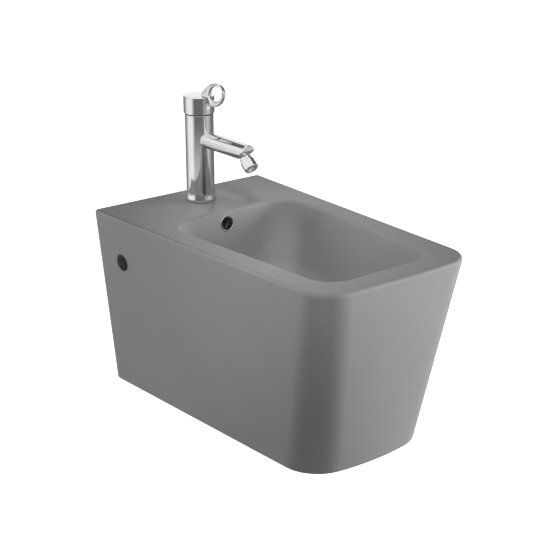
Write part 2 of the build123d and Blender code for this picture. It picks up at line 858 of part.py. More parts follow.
with BuildPart() as cover_ring:
    turn(
        [
            (cover_bore, cartridge_nut_top),
            (nut_thread_radius - thread_gap, cartridge_nut_top),
            (nut_thread_radius - thread_gap, cover_top - edge_break),
            (nut_thread_radius - thread_gap - edge_break, cover_top),
            (cover_bore, cover_top),
        ],
        tap_plane,
    )
save(cover_ring, "cover_ring")

# Cap of the handle
with BuildPart() as handle_cap:
    turn(
        [
            (0, cap_top),
            (cap_radius - cap_edge, cap_top),
            (cap_radius, cap_top - cap_edge),
            (cap_radius, cap_foot + cap_edge),
            (cap_radius - cap_edge, cap_foot),
            (cap_radius - cap_wall, cap_foot),
            (cap_radius - cap_wall, cap_top - cap_plate),
            (hub_radius, cap_top - cap_plate),
            (hub_radius, hub_foot),
            (0, hub_foot),
        ],
        tap_plane,
    )
    with BuildSketch(Plane.XY.offset(deck_z + hub_foot - overrun)):
        with Locations((0, tap_y)):
            Rectangle(stem_width + 2 * thread_gap, stem_depth + 2 * thread_gap)
    extrude(amount=stem_top + thread_gap - hub_foot + overrun, mode=Mode.SUBTRACT)
    with BuildSketch(upright(tap_y, deck_z + screw_z)):
        Circle(screw_radius + thread_gap)
    extrude(amount=hub_radius + overrun, mode=Mode.SUBTRACT)
    with BuildSketch(upright(tap_y - hub_radius - overrun, deck_z + screw_z)):
        Circle(index_hole_radius)
    extrude(amount=cap_radius - hub_radius, mode=Mode.SUBTRACT)
    with BuildSketch(Plane.XY.offset(deck_z + cap_top + overrun)):
        with Locations((0, tap_y - tenon_forward)):
            Circle(tenon_radius + thread_gap)
    extrude(amount=-cap_plate - 2 * overrun, mode=Mode.SUBTRACT)
save(handle_cap, "handle_cap")

# Ring lever
with BuildPart() as ring_lever:
    cap_plane_z = deck_z + cap_top
    with BuildSketch(Plane.YZ.offset(-lever_thickness / 2)):
        with Locations((tap_y - loop_forward, deck_z + loop_z)):
            Ellipse(loop_long, loop_short, rotation=-loop_angle)
        with BuildLine():
            Polyline(
                (tap_y - root_back, cap_plane_z),
                (tap_y - root_back, cap_plane_z + root_rise),
                (tap_y - root_crest_forward, cap_plane_z + root_crest_rise),
                (tap_y - loop_forward, deck_z + loop_z),
                (tap_y - loop_forward, cap_plane_z),
                close=True,
            )
        make_face()
        with Locations((tap_y - notch_forward + cap_radius, cap_plane_z - cap_radius)):
            Rectangle(2 * cap_radius, 2 * cap_radius, mode=Mode.SUBTRACT)
    extrude(amount=lever_thickness)
    sides = faces().filter_by(Axis.X)
    fillet(sides.edges() - sides.edges().filter_by(GeomType.LINE), radius=lever_edge)
    with BuildSketch(Plane.YZ.offset(-lever_thickness)):
        with Locations((tap_y - hole_forward, deck_z + hole_z)):
            Ellipse(hole_long, hole_short, rotation=-hole_angle)
    extrude(amount=2 * lever_thickness, mode=Mode.SUBTRACT)
    with BuildSketch(Plane.XY.offset(deck_z + cap_top - tenon_length)):
        with Locations((0, tap_y - tenon_forward)):
            Circle(tenon_radius)
    extrude(amount=tenon_length + lever_edge)
save(ring_lever, "ring_lever")

# Grub screw that holds the cap on the stem
with BuildPart() as handle_set_screw:
    with BuildSketch(upright(tap_y - stem_depth / 2, deck_z + screw_z)):
        Circle(screw_radius)
    extrude(amount=screw_length)
    with BuildSketch(upright(tap_y - stem_depth / 2 - screw_length / 2, deck_z + screw_z)):
        RegularPolygon(screw_socket, 6)
    extrude(amount=screw_length, mode=Mode.SUBTRACT)
save(handle_set_screw, "handle_set_screw")

# Small plug over the screw
with BuildPart() as index_plug:
    with BuildSketch(upright(tap_y - cap_radius - index_stand + index_plug_length, deck_z + screw_z)):
        Circle(index_hole_radius - thread_gap)
    extrude(amount=index_plug_length)
save(index_plug, "index_plug")

# Spout, with the slanted seat of the swivel joint at its end
ball_y = tap_y - ball_forward
ball_z = deck_z + spout_z - ball_drop
seat_plane = lengthwise(ball_y, ball_z, -sin(radians(seat_angle)), -cos(radians(seat_angle)))
swivel_plane = lengthwise(ball_y, ball_z, -sin(radians(swivel_angle)), -cos(radians(swivel_angle)))
bore_end = ball_forward - 2 * ball_radius
with BuildPart() as spout:
    turn(
        [
            (0, spout_end),
            (spout_radius, spout_end),
            (spout_radius, socket_length + seam_chamfer),
            (spout_radius - seam_chamfer, socket_length),
            (socket_bore_radius - thread_gap, socket_length),
            (socket_bore_radius - thread_gap, socket_bore_start),
            (spout_bore, socket_bore_start),
            (spout_bore, bore_end),
            (0, bore_end),
        ],
        lengthwise(tap_y, deck_z + spout_z, -1, 0),
    )
    fillet(faces().sort_by(Axis.Y)[0].edges(), radius=nose_round)
    turn(tube(4 * spout_radius, 0, seat_reach, 4 * spout_radius), seat_plane, mode=Mode.SUBTRACT)
    turn(tube(passage_radius, 0, -passage_length, 0), seat_plane, mode=Mode.SUBTRACT)
    retainer_hole = tube(retainer_radius + thread_gap, 0, retainer_start, seat_reach + overrun)
    turn(retainer_hole, seat_plane, mode=Mode.SUBTRACT)
    with Locations((0, ball_y, ball_z)):
        Sphere(ball_radius + ball_gap, mode=Mode.SUBTRACT)
save(spout, "spout")

# Ball of the swivel joint with its neck, bored for the water
bore_start = -((ball_radius**2 - ball_bore**2) ** 0.5)
neck_start = (ball_radius**2 - ball_neck_radius**2) ** 0.5
with BuildPart() as swivel_ball:
    with BuildSketch(swivel_plane):
        with BuildLine():
            ThreePointArc((ball_bore, bore_start), (ball_radius, 0), (ball_neck_radius, neck_start))
            Polyline(
                (ball_neck_radius, neck_start),
                (ball_neck_radius, ball_neck_end),
                (ball_bore, ball_neck_end),
                (ball_bore, bore_start),
            )
        make_face()
    revolve(axis=Axis(swivel_plane.origin, swivel_plane.y_dir))
save(swivel_ball, "swivel_ball")

# Ring that keeps the ball in the spout
with BuildPart() as ball_retainer:
    turn(tube(retainer_radius, retainer_lip_radius, retainer_start, retainer_end), seat_plane)
    with Locations((0, ball_y, ball_z)):
        Sphere(ball_radius + ball_gap, mode=Mode.SUBTRACT)
save(ball_retainer, "ball_retainer")

# Aerator housing
with BuildPart() as aerator_housing:
    turn(
        [
            (ball_neck_radius + thread_gap, housing_start),
            (housing_crown_radius, housing_start),
            (housing_radius, housing_shoulder),
            (housing_radius, housing_end),
            (skirt_radius, housing_end),
            (skirt_radius, skirt_end),
            (housing_bore, skirt_end),
            (housing_bore, housing_ceiling),
            (ball_neck_radius + thread_gap, housing_ceiling),
        ],
        swivel_plane,
    )
save(aerator_housing, "aerator_housing")

# Ring that screws on the housing, rounded at its lower edge
round_middle = screw_ring_round * (1 - cos(radians(45)))
with BuildPart() as aerator_ring:
    with BuildSketch(swivel_plane):
        with BuildLine():
            Polyline(
                (screw_ring_radius - screw_ring_round, screw_ring_end),
                (ring_lip_bore, screw_ring_end),
                (ring_lip_bore, ring_lip_start),
                (skirt_radius + thread_gap, ring_lip_start),
                (skirt_radius + thread_gap, housing_end),
                (screw_ring_radius - edge_break, housing_end),
                (screw_ring_radius, housing_end + edge_break),
                (screw_ring_radius, screw_ring_end - screw_ring_round),
            )
            ThreePointArc(
                (screw_ring_radius, screw_ring_end - screw_ring_round),
                (screw_ring_radius - round_middle, screw_ring_end - round_middle),
                (screw_ring_radius - screw_ring_round, screw_ring_end),
            )
        make_face()
    revolve(axis=Axis(swivel_plane.origin, swivel_plane.y_dir))
save(aerator_ring, "aerator_ring")

# Washer above the insert
with BuildPart() as aerator_gasket:
    turn(tube(skirt_radius, gasket_bore, skirt_end, skirt_end + gasket_height), swivel_plane)
save(aerator_gasket, "aerator_gasket")

# Insert: a ring with a grid across it
insert_start = skirt_end + gasket_height
grid_plane = Plane(swivel_plane.origin, x_dir=(1, 0, 0), z_dir=swivel_plane.y_dir).offset(insert_start)
with BuildPart() as aerator_insert:
    turn(tube(skirt_radius, ring_lip_bore - edge_break, insert_start, ring_lip_start), swivel_plane)
    with BuildSketch(grid_plane):
        for step in range(grid_count):
            across = (step - (grid_count - 1) / 2) * grid_pitch
            with Locations((across, 0)):
                Rectangle(grid_bar, 2 * ring_lip_bore)
            with Locations((0, across)):
                Rectangle(2 * ring_lip_bore, grid_bar)
        Circle(skirt_radius - edge_break, mode=Mode.INTERSECT)
    extrude(amount=ring_lip_start - insert_start)
save(aerator_insert, "aerator_insert")
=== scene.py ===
import json
from math import radians

import bmesh
import bpy
import numpy as np
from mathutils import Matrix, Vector


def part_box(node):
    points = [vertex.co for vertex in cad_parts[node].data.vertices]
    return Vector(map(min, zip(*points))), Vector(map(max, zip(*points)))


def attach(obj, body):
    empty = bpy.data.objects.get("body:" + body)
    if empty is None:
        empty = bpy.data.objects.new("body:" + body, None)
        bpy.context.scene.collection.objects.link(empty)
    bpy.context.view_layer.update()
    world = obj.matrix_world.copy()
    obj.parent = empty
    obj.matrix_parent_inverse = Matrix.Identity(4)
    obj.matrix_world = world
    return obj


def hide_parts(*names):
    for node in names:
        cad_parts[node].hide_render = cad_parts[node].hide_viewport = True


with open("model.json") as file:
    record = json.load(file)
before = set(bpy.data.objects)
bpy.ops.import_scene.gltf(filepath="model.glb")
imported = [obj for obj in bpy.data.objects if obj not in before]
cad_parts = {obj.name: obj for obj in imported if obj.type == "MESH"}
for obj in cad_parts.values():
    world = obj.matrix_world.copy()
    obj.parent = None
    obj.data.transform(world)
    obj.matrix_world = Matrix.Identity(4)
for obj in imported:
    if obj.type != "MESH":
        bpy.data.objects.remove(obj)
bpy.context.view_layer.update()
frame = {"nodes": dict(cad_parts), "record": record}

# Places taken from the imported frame, in metres
cap_low, cap_high = (np.array(corner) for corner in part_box("handle_cap"))
ceramic_low, ceramic_high = (np.array(corner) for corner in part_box("ceramic_body"))
tap_y = float(cap_low[1] + cap_high[1]) / 2
cap_top = float(cap_high[2])
deck_z = float(ceramic_high[2])
base_z = float(ceramic_low[2])

# The mixer's and the overflow's places in relation to those, in metres
SPOUT_RISE = 0.1082  # spout's axis above the deck
BALL_REACH = 0.1213  # aerator's ball in front of the tap's axis
BALL_DROP = 0.0043  # and below the spout's axis
OVERFLOW_SIDE, OVERFLOW_Y, OVERFLOW_DROP = -0.008, -0.15118, 0.021
BOWL_DEPTH, BOWL_BACK_LEAN = 132.0, 20.0  # the back wall leans in by so much over the bowl's depth

TURN = 2 * np.pi
UP = (0.0, 0.0, 1.0)
FORWARD = (0.0, -1.0, 0.0)
SIDEWAYS = np.array([1.0, 0.0, 0.0])


# Shader helpers
def new_finish(name):
    """An empty material with a Principled shader: the material, its nodes, its links and the shader."""
    finish = bpy.data.materials.new(name)
    finish.use_nodes = True
    nodes = finish.node_tree.nodes
    return finish, nodes, finish.node_tree.links, nodes["Principled BSDF"]


def fill(links, socket, value):
    """Gives a socket a number, a colour or another node's output."""
    if isinstance(value, bpy.types.NodeSocket):
        links.new(value, socket)
    elif isinstance(value, tuple):
        socket.default_value = (*value, 1)
    else:
        socket.default_value = value


def worked(nodes, links, operation, first, second):
    """A Math node on two values."""
    step = nodes.new("ShaderNodeMath")
    step.operation = operation
    fill(links, step.inputs[0], first)
    fill(links, step.inputs[1], second)
    return step.outputs["Value"]


def noise(nodes, links, scale, detail=3.0, rough=0.5, stretch=(1.0, 1.0, 1.0)):
    """Noise over the piece's own metres, with a Mapping node that can stretch it."""
    place = nodes.new("ShaderNodeTexCoord")
    turn = nodes.new("ShaderNodeMapping")
    turn.inputs["Scale"].default_value = stretch
    links.new(place.outputs["Object"], turn.inputs["Vector"])
    cloud = nodes.new("ShaderNodeTexNoise")
    cloud.inputs["Scale"].default_value = scale
    cloud.inputs["Detail"].default_value = detail
    cloud.inputs["Roughness"].default_value = rough
    links.new(turn.outputs["Vector"], cloud.inputs["Vector"])
    return cloud.outputs["Fac"]


def spread(nodes, links, value, low, high, floor=0.3, ceiling=0.7, kind="LINEAR"):
    """Maps a value from the range floor to ceiling, which noise mostly stays in, to the range low to high."""
    ranged = nodes.new("ShaderNodeMapRange")
    ranged.interpolation_type = kind
    ranged.inputs["From Min"].default_value = floor
    ranged.inputs["From Max"].default_value = ceiling
    ranged.inputs["To Min"].default_value = low
    ranged.inputs["To Max"].default_value = high
    links.new(value, ranged.inputs["Value"])
    return ranged.outputs["Result"]


def mixed(nodes, links, share, first, second):
    """A colour between two colours."""
    blend = nodes.new("ShaderNodeMix")
    blend.data_type = "RGBA"
    fill(links, blend.inputs["A"], first)
    fill(links, blend.inputs["B"], second)
    links.new(share, blend.inputs["Factor"])
    return blend.outputs["Result"]


def mottle(nodes, links, shader, dark, light, scale, detail=4.0, rough=0.5):
    """Lets the base colour wander between two tones."""
    cloud = noise(nodes, links, scale, detail, rough)
    tone = mixed(nodes, links, spread(nodes, links, cloud, 0, 1), dark, light)
    links.new(tone, shader.inputs["Base Color"])


def gloss(nodes, links, shader, pattern, low, high):
    """Lets the roughness follow a pattern."""
    links.new(spread(nodes, links, pattern, low, high), shader.inputs["Roughness"])


def relief(nodes, links, shader, height, strength, depth):
    """A bump of the given depth in metres."""
    bump = nodes.new("ShaderNodeBump")
    bump.inputs["Strength"].default_value = strength
    bump.inputs["Distance"].default_value = depth
    links.new(height, bump.inputs["Height"])
    links.new(bump.outputs["Normal"], shader.inputs["Normal"])


def seen_or_mirrored(nodes, links):
    """1 for what the camera sees and for reflections, 0 for light that falls on the object."""
    path = nodes.new("ShaderNodeLightPath")
    return worked(nodes, links, "MAXIMUM", path.outputs["Is Camera Ray"], path.outputs["Is Glossy Ray"])


# Finishes
def matt_glaze():
    """Mid-grey matt glaze: a soft, slightly uneven sheen, a faint cloudiness and a very fine orange peel."""
    finish, nodes, links, shader = new_finish("matt_glaze")
    mottle(nodes, links, shader, (0.236, 0.237, 0.236), (0.252, 0.253, 0.252), scale=7.0, rough=0.55)
    gloss(nodes, links, shader, noise(nodes, links, scale=55.0), 0.30, 0.37)
    shader.inputs["Specular IOR Level"].default_value = 0.3
    peel = noise(nodes, links, scale=900.0, detail=2.0)
    relief(nodes, links, shader, peel, strength=0.25, depth=0.00006)
    return finish


def polished_chrome():
    """Bright chrome plate with faint wiping marks in its gloss."""
    finish, nodes, links, shader = new_finish("polished_chrome")
    shader.inputs["Metallic"].default_value = 1.0
    mottle(nodes, links, shader, (0.76, 0.765, 0.77), (0.81, 0.812, 0.815), scale=30.0, detail=3.0)
    wiping = noise(nodes, links, scale=140.0, detail=4.0, rough=0.6, stretch=(1.0, 1.0, 4.0))
    gloss(nodes, links, shader, wiping, 0.045, 0.10)
    return finish


def turned_metal(name, dark, light, low, high):
    """Turned brass or steel: fine rings along the axis, and a tone that varies a little."""
    finish, nodes, links, shader = new_finish(name)
    shader.inputs["Metallic"].default_value = 1.0
    mottle(nodes, links, shader, dark, light, scale=60.0)
    cuts = noise(nodes, links, scale=1800.0, detail=2.0, stretch=(0.08, 0.08, 1.0))
    gloss(nodes, links, shader, cuts, low, high)
    relief(nodes, links, shader, cuts, strength=0.2, depth=0.00003)
    return finish


def moulded(name, dark, light, low, high, grain=0.00004):
    """Moulded plastic or rubber: a mottled tone and a fine grain."""
    finish, nodes, links, shader = new_finish(name)
    mottle(nodes, links, shader, dark, light, scale=90.0)
    grains = noise(nodes, links, scale=1400.0, detail=2.0)
    gloss(nodes, links, shader, grains, low, high)
    relief(nodes, links, shader, grains, strength=0.3, depth=grain)
    return finish


chrome = polished_chrome()
finish_of_slot = {
    "ceramic": matt_glaze(),
    "chrome": chrome,
    "brass": turned_metal("turned_brass", (0.60, 0.44, 0.20), (0.70, 0.54, 0.28), 0.22, 0.36),
    "steel": turned_metal("bright_steel", (0.46, 0.47, 0.49), (0.56, 0.57, 0.58), 0.25, 0.40),
    "rubber": moulded("black_rubber", (0.018,) * 3, (0.034,) * 3, 0.6, 0.8, grain=0.00008),
    "white_plastic": moulded("white_plastic", (0.68, 0.68, 0.67), (0.76, 0.76, 0.75), 0.35, 0.5),
    "grey_plastic": moulded("grey_plastic", (0.045, 0.045, 0.047), (0.07, 0.07, 0.073), 0.45, 0.6),
}
for part in frame["record"]["subparts"]:
    mesh = frame["nodes"][part["node"]].data
    mesh.materials.clear()
    mesh.materials.append(finish_of_slot[part["material_slot"]])


# Surfaces
def chromed(name, points, body, rows_closed=True):
    """Puts a grid of points, rows by columns, into a chromed mesh: quads between neighbours, closed round the
    columns, and from the last row back to the first one where rows_closed says so."""
    rows, columns = points.shape[:2]
    index = np.arange(rows * columns).reshape(rows, columns)
    here = index if rows_closed else index[:-1]
    below = np.roll(index, -1, 0) if rows_closed else index[1:]
    quads = np.stack([here, below, np.roll(below, -1, 1), np.roll(here, -1, 1)], -1)
    mesh = bpy.data.meshes.new(name)
    mesh.from_pydata(points.reshape(-1, 3).tolist(), [], quads.reshape(-1, 4).tolist())
    mesh.polygons.foreach_set("use_smooth", np.ones(len(mesh.polygons), bool))
    mesh.materials.append(chrome)
    mesh.update()
    piece = bpy.data.objects.new(name, mesh)
    bpy.context.scene.collection.objects.link(piece)
    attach(piece, body)
    return piece


def weld(piece):
    """Merges the points that fall together at a pole, turns the faces outwards and keeps real edges sharp."""
    shell = bmesh.new()
    shell.from_mesh(piece.data)
    bmesh.ops.remove_doubles(shell, verts=shell.verts, dist=1e-7)
    bmesh.ops.dissolve_degenerate(shell, edges=shell.edges, dist=1e-8)
    bmesh.ops.recalc_face_normals(shell, faces=shell.faces)
    shell.to_mesh(piece.data)
    shell.free()
    piece.data.polygons.foreach_set("use_smooth", np.ones(len(piece.data.polygons), bool))
    piece.data.set_sharp_from_angle(angle=radians(32))


def softened(profile, steps=5, guard=0.05):
    """A profile of (radius, height, corner rounding) in millimetres, given back in metres. Each corner becomes
    a quarter-like arc, drawn as a quadratic curve between the points one rounding away on its two sides. A
    guard point just before and just after it keeps the flats flat."""
    line = []
    for number, (radius, height, rounding) in enumerate(profile):
        spot = np.array([radius, height])
        if rounding == 0:
            line.append(spot)
            continue
        before = np.array(profile[number - 1][:2]) - spot
        after = np.array(profile[(number + 1) % len(profile)][:2]) - spot
        before, after = before / np.hypot(*before), after / np.hypot(*after)
        start, end = spot + before * rounding, spot + after * rounding
        share = np.linspace(0, 1, steps)[:, None]
        line.append(start + before * guard)
        line.extend((1 - share) ** 2 * start + 2 * share * (1 - share) * spot + share**2 * end)
        line.append(end + after * guard)
    return np.array(line) / 1000


def turned_piece(name, node, profile, centre, lean, body, hollow=True, segments=160):
    """A profile carried round an axis that leans in the middle plane: radius times (cos, sin) across the axis,
    height along it. A hollow piece's profile is a loop, another's starts and ends on the axis."""
    line = softened(profile)
    around = np.linspace(0, TURN, segments, endpoint=False)
    lean = np.array(lean) / np.linalg.norm(lean)
    ring = np.cos(around)[:, None] * SIDEWAYS + np.sin(around)[:, None] * np.cross(lean, SIDEWAYS)
    points = np.array(centre) + line[:, 0, None, None] * ring[None] + line[:, 1, None, None] * lean
    piece = chromed(name, points, body, rows_closed=hollow)
    weld(piece)
    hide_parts(node)


def lever_surface():
    """Ring lever: a plate in the middle plane with an oval finger hole and a rounded section.
    Round the hole's centre, at each angle, the inner edge is the hole's ellipse and the outer edge is the
    farthest point of an outer ellipse joined to a root that lies on the cap, less the notch in front of the
    cap. The section between the two edges is a rectangle whose corners are quarter circles.
    Places are (forward of the tap's axis, above the cap's top), in metres."""
    tilt = radians(23.0)
    hole_centre, hole_long, hole_short = np.array([0.0500, 0.0104]), 0.0186, 0.0122
    rim_centre, rim_long, rim_short = np.array([0.0460, 0.0074]), 0.0268, 0.0190
    root_start, root_end, root_height = 0.0115, 0.0340, 0.0055
    root_slope = (0.0216 - root_height) / (0.0310 - root_start)
    bulge_height, bulge_length = 0.0016, 0.0195
    notch_end, notch_depth = 0.0286, 0.0039
    half_thickness, edge_round = 0.0035, 0.0027
    corners = np.array([[root_start, 0.0], [notch_end, 0.0], [notch_end, -notch_depth]]) - hole_centre
    corner_angles = np.arctan2(corners[:, 1], corners[:, 0]) % TURN
    angles = np.unique(np.concatenate([np.linspace(0, TURN, 320, endpoint=False), corner_angles]))

    def ellipse_reach(spots, centre, long, short):
        """1 on the ellipse, less inside it."""
        away = spots - centre
        along = away[..., 0] * np.cos(tilt) + away[..., 1] * np.sin(tilt)
        across = -away[..., 0] * np.sin(tilt) + away[..., 1] * np.cos(tilt)
        return np.hypot(along / long, across / short)

    rays = np.stack([np.cos(angles), np.sin(angles)], -1)
    inner = 1 / ellipse_reach(rays, 0.0, hole_long, hole_short)
    reach = np.linspace(0.004, 0.048, 2200)
    spots = hole_centre + rays[:, None] * reach[None, :, None]
    forward, up = spots[..., 0], spots[..., 1]
    past_start = forward - root_start
    bulge = bulge_height * np.sin(np.pi * np.clip(past_start / bulge_length, 0, 1))
    root = (forward > root_start) & (forward < root_end)
    root &= (up > 0) & (up < root_height + root_slope * past_start + bulge)
    solid = (ellipse_reach(spots, rim_centre, rim_long, rim_short) < 1) | root
    solid &= ~((forward < notch_end) & (up < 0))
    outer = np.where(solid, reach, 0).max(1)

    width = outer - inner
    corner = np.minimum(edge_round, 0.485 * width)
    corner_points = 7
    quarter = np.linspace(0, np.pi / 2, corner_points)
    turns = (np.arange(4)[:, None] * np.pi / 2 + quarter).ravel()
    side = np.repeat([1, -1, -1, 1], corner_points)
    face = np.repeat([1, 1, -1, -1], corner_points)
    radial = (inner + outer)[:, None] / 2 + side * (width / 2 - corner)[:, None]
    radial = radial + corner[:, None] * np.cos(turns)
    across = face * (half_thickness - corner)[:, None] + corner[:, None] * np.sin(turns)
    spot = hole_centre[None, None] + rays[:, None] * radial[..., None]
    return np.stack([across, tap_y - spot[..., 0], cap_top + spot[..., 1]], -1)


def spout_surface(columns=240):
    """Spout: rings of points (sideways, forward, up) about its axis, in millimetres, row by row.
    The outer tube ends where it meets the rounded nose or the slanted cut, whichever comes first. The end
    face runs from there to the round seat of the aerator's ball, past the crease between nose and cut,
    and the seat goes in as a short bore and a hollow half ball."""
    tube, nose_start, nose_round = 13.4, 133.6, 2.0
    nose_end = nose_start + nose_round
    slant, cut_gap = radians(37.0), 1.9  # the cut lies so far past the ball's centre
    seat_radius, seat_depth, hollow_radius, hollow_start = 6.3, 3.9, 5.1, radians(23.1)
    nothing = 1e-9
    around = np.linspace(0, TURN, columns, endpoint=False)
    sideways, upward = np.cos(around), np.sin(around)
    axis = np.array([0.0, np.sin(slant), -np.cos(slant)])
    rise = np.array([0.0, np.cos(slant), np.sin(slant)])
    ball = 1000 * np.array([0.0, BALL_REACH, -BALL_DROP])
    seat_ring = sideways[:, None] * SIDEWAYS + upward[:, None] * rise

    def cut(up):
        """How far forward the slanted cut lies at a height above the axis."""
        return ball[1] + (cut_gap + np.cos(slant) * (up - ball[2])) / np.sin(slant)

    def ring(radius, forward):
        """A ring of points about the spout's axis."""
        return np.stack([radius * sideways, np.broadcast_to(forward, around.shape), radius * upward], -1)

    # From the bore's closed end back to the tube's root, and over its step to the outside
    inside = [(0, 111.7), (8, 111.7), (8, 30), (10.4, 30), (10.4, 46), (13.0, 46), (13.1, 46.1),
              (tube, 46.4), (tube, 46.5)]
    rows = [ring(radius, forward) for radius, forward in inside]
    rows.append(ring(tube, np.minimum(nose_start - 0.1, cut(tube * upward) - 0.05)))
    nose_rows = 6
    for bend in np.linspace(0, np.pi / 2, nose_rows):
        radius = tube - nose_round + nose_round * np.cos(bend)
        rows.append(ring(radius, np.minimum(nose_start + nose_round * np.sin(bend), cut(radius * upward))))
    edge = ring(tube, np.minimum(nose_start, cut(tube * upward)))
    cut_first = (rows[-1][:, 1] < nose_end - nothing) & (edge[:, 1] < nose_start - nothing)
    for row in rows[-nose_rows:]:
        row[cut_first] = edge[cut_first]
    seat = ball + cut_gap * axis + seat_radius * seat_ring
    crease_up = ball[2] + ((nose_end - ball[1]) * np.sin(slant) - cut_gap) / np.cos(slant)
    outer = rows[-1]
    above = outer[:, 2] > crease_up
    share = np.clip((outer[:, 2] - crease_up) / (outer[:, 2] - seat[:, 2] + 1e-12), 0, 1)[:, None]
    crease = np.where(above[:, None], outer + (seat - outer) * share, outer)
    crease[:, 1] = np.where(above, nose_end, outer[:, 1])
    rows += [crease, seat, seat - seat_depth * axis]
    for sink in np.linspace(hollow_start, np.pi / 2, 6):
        rows.append(ball - hollow_radius * np.sin(sink) * axis + hollow_radius * np.cos(sink) * seat_ring)
    spots = np.stack(rows) / 1000
    return np.stack([spots[..., 0], tap_y - spots[..., 1], deck_z + SPOUT_RISE + spots[..., 2]], -1)


lever_loop = chromed("lever_loop", lever_surface(), "handle")
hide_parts("ring_lever")

# Column: inside of the foot, its edge, the flare, the top edge, and the bores down to the cartridge's seat
tap_foot = (0.0, tap_y, deck_z)
FLARE_RADIUS, FLARE_TOP, COLUMN_RADIUS = 43.25, 18.0, 24.0
flare_heights = np.linspace(5.0, FLARE_TOP, 12)[1:]
flare = [(COLUMN_RADIUS + FLARE_RADIUS - np.sqrt(FLARE_RADIUS**2 - (FLARE_TOP - height) ** 2), height, 0)
         for height in flare_heights]
turned_piece("column", "tap_body", [
    (0, 15, 0), (18.6, 15, 0), (18.6, 0.8, 0), (26.0, 0.8, 0.35), (26.0, 4.9, 0.5), *flare,
    (COLUMN_RADIUS, 150.3, 0.8), (20.4, 150.3, 0.3), (20.4, 140, 0), (17.6, 140, 0), (17.6, 118.5, 0), (0, 118.5, 0),
], tap_foot, UP, "base", hollow=False)
turned_piece("spout_socket", "tap_body", [
    (10.6, 20.5, 0), (13.4, 20.5, 0), (13.4, 45.95, 0.35), (10.6, 45.95, 0),
], (0.0, tap_y, deck_z + SPOUT_RISE), FORWARD, "base")

# Cap: top, skirt, and the boss that takes the stem
turned_piece("lever_cap", "handle_cap", [
    (0, 181, 0), (26, 181, 0.9), (26, 152.3, 0.7), (23.6, 152.3, 0.3), (23.6, 177, 0), (8, 177, 0),
    (8, 156.2, 0.3), (4.3, 156.2, 0), (4.3, 174.8, 0), (0, 174.8, 0),
], tap_foot, UP, "handle", hollow=False)

spout_tube = chromed("spout_tube", spout_surface(), "base", rows_closed=False)
weld(spout_tube)
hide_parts("spout")

# Aerator: heights run down its own axis from the ball's centre
ball_centre = (0.0, tap_y - BALL_REACH, deck_z + SPOUT_RISE - BALL_DROP)
outflow_lean = radians(49.0)
outflow = (0.0, -np.sin(outflow_lean), -np.cos(outflow_lean))
turned_piece("aerator_shell", "aerator_housing", [
    (2.3, 6.0, 0.1), (8.5, 6.0, 0.8), (9.9, 7.5, 0.7), (9.9, 14.0, 0.25), (9.0, 14.0, 0), (9.0, 25.0, 0),
    (7.4, 25.0, 0), (7.4, 8.6, 0.4), (2.3, 8.6, 0),
], ball_centre, outflow, "aerator")
turned_piece("aerator_collar", "aerator_ring", [
    (9.1, 14.0, 0), (11.8, 14.0, 0.6), (11.8, 30.9, 2.4), (7.8, 30.9, 0.5), (7.8, 29.3, 0), (9.1, 29.3, 0),
], ball_centre, outflow, "aerator")

# Overflow: a sleeve in the wall and a rounded lip on it
turned_piece("overflow_lip", "overflow_ring", [
    (11.0, -12.0, 0.2), (11.9, -12.0, 0.2), (11.9, 0.0, 0), (13.6, 0.0, 0), (13.6, 1.2, 1.0), (11.0, 1.2, 1.0),
], (OVERFLOW_SIDE, OVERFLOW_Y, deck_z - OVERFLOW_DROP), (0.0, -BOWL_DEPTH, BOWL_BACK_LEAN), "base")

# Stage, lamps and camera
FLOOR_GAP = 0.085  # the object hangs so far above the floor
FLOOR_REACH = 9.0
FLOOR_LIFT = 0.95
WORLD_LEVEL = 0.1
WHITE, BLACK = (1.0,) * 3, (0.0,) * 3


def white_floor():
    """White floor: it keeps the shadow, and looks white to the camera and in reflections."""
    finish, nodes, links, shader = new_finish("white_floor")
    fill(links, shader.inputs["Base Color"], (0.8,) * 3)
    shader.inputs["Roughness"].default_value = 0.9
    shader.inputs["Specular IOR Level"].default_value = 0.0
    fill(links, shader.inputs["Emission Color"], WHITE)
    lift = worked(nodes, links, "MULTIPLY", seen_or_mirrored(nodes, links), FLOOR_LIFT)
    links.new(lift, shader.inputs["Emission Strength"])
    return finish


floor_z = base_z - FLOOR_GAP
floor_corners = [(x * FLOOR_REACH, y * FLOOR_REACH, floor_z) for x, y in ((-1, -1), (1, -1), (1, 1), (-1, 1))]
floor_mesh = bpy.data.meshes.new("floor")
floor_mesh.from_pydata(floor_corners, [], [(0, 1, 2, 3)])
floor_mesh.materials.append(white_floor())
floor = bpy.data.objects.new("floor", floor_mesh)
bpy.context.scene.collection.objects.link(floor)

world = bpy.context.scene.world or bpy.data.worlds.new("studio")
bpy.context.scene.world = world
world.use_nodes = True
sky_nodes, sky_links = world.node_tree.nodes, world.node_tree.links
sky = sky_nodes["Background"]
sky_level = spread(sky_nodes, sky_links, seen_or_mirrored(sky_nodes, sky_links), WORLD_LEVEL, 1.0, 0.0, 1.0)
fill(sky_links, sky.inputs["Color"], WHITE)
sky_links.new(sky_level, sky.inputs["Strength"])


def hang(lamp, place, aim):
    """Puts a lamp in its place, turned to what it lights, out of the reflections' sight."""
    holder = bpy.data.objects.new(lamp.name, lamp)
    holder.location = place
    holder.rotation_euler = (Vector(aim) - Vector(place)).to_track_quat("-Z", "Y").to_euler()
    holder.visible_glossy = False
    bpy.context.scene.collection.objects.link(holder)


MIDDLE = (0.0, -0.28, -0.05)
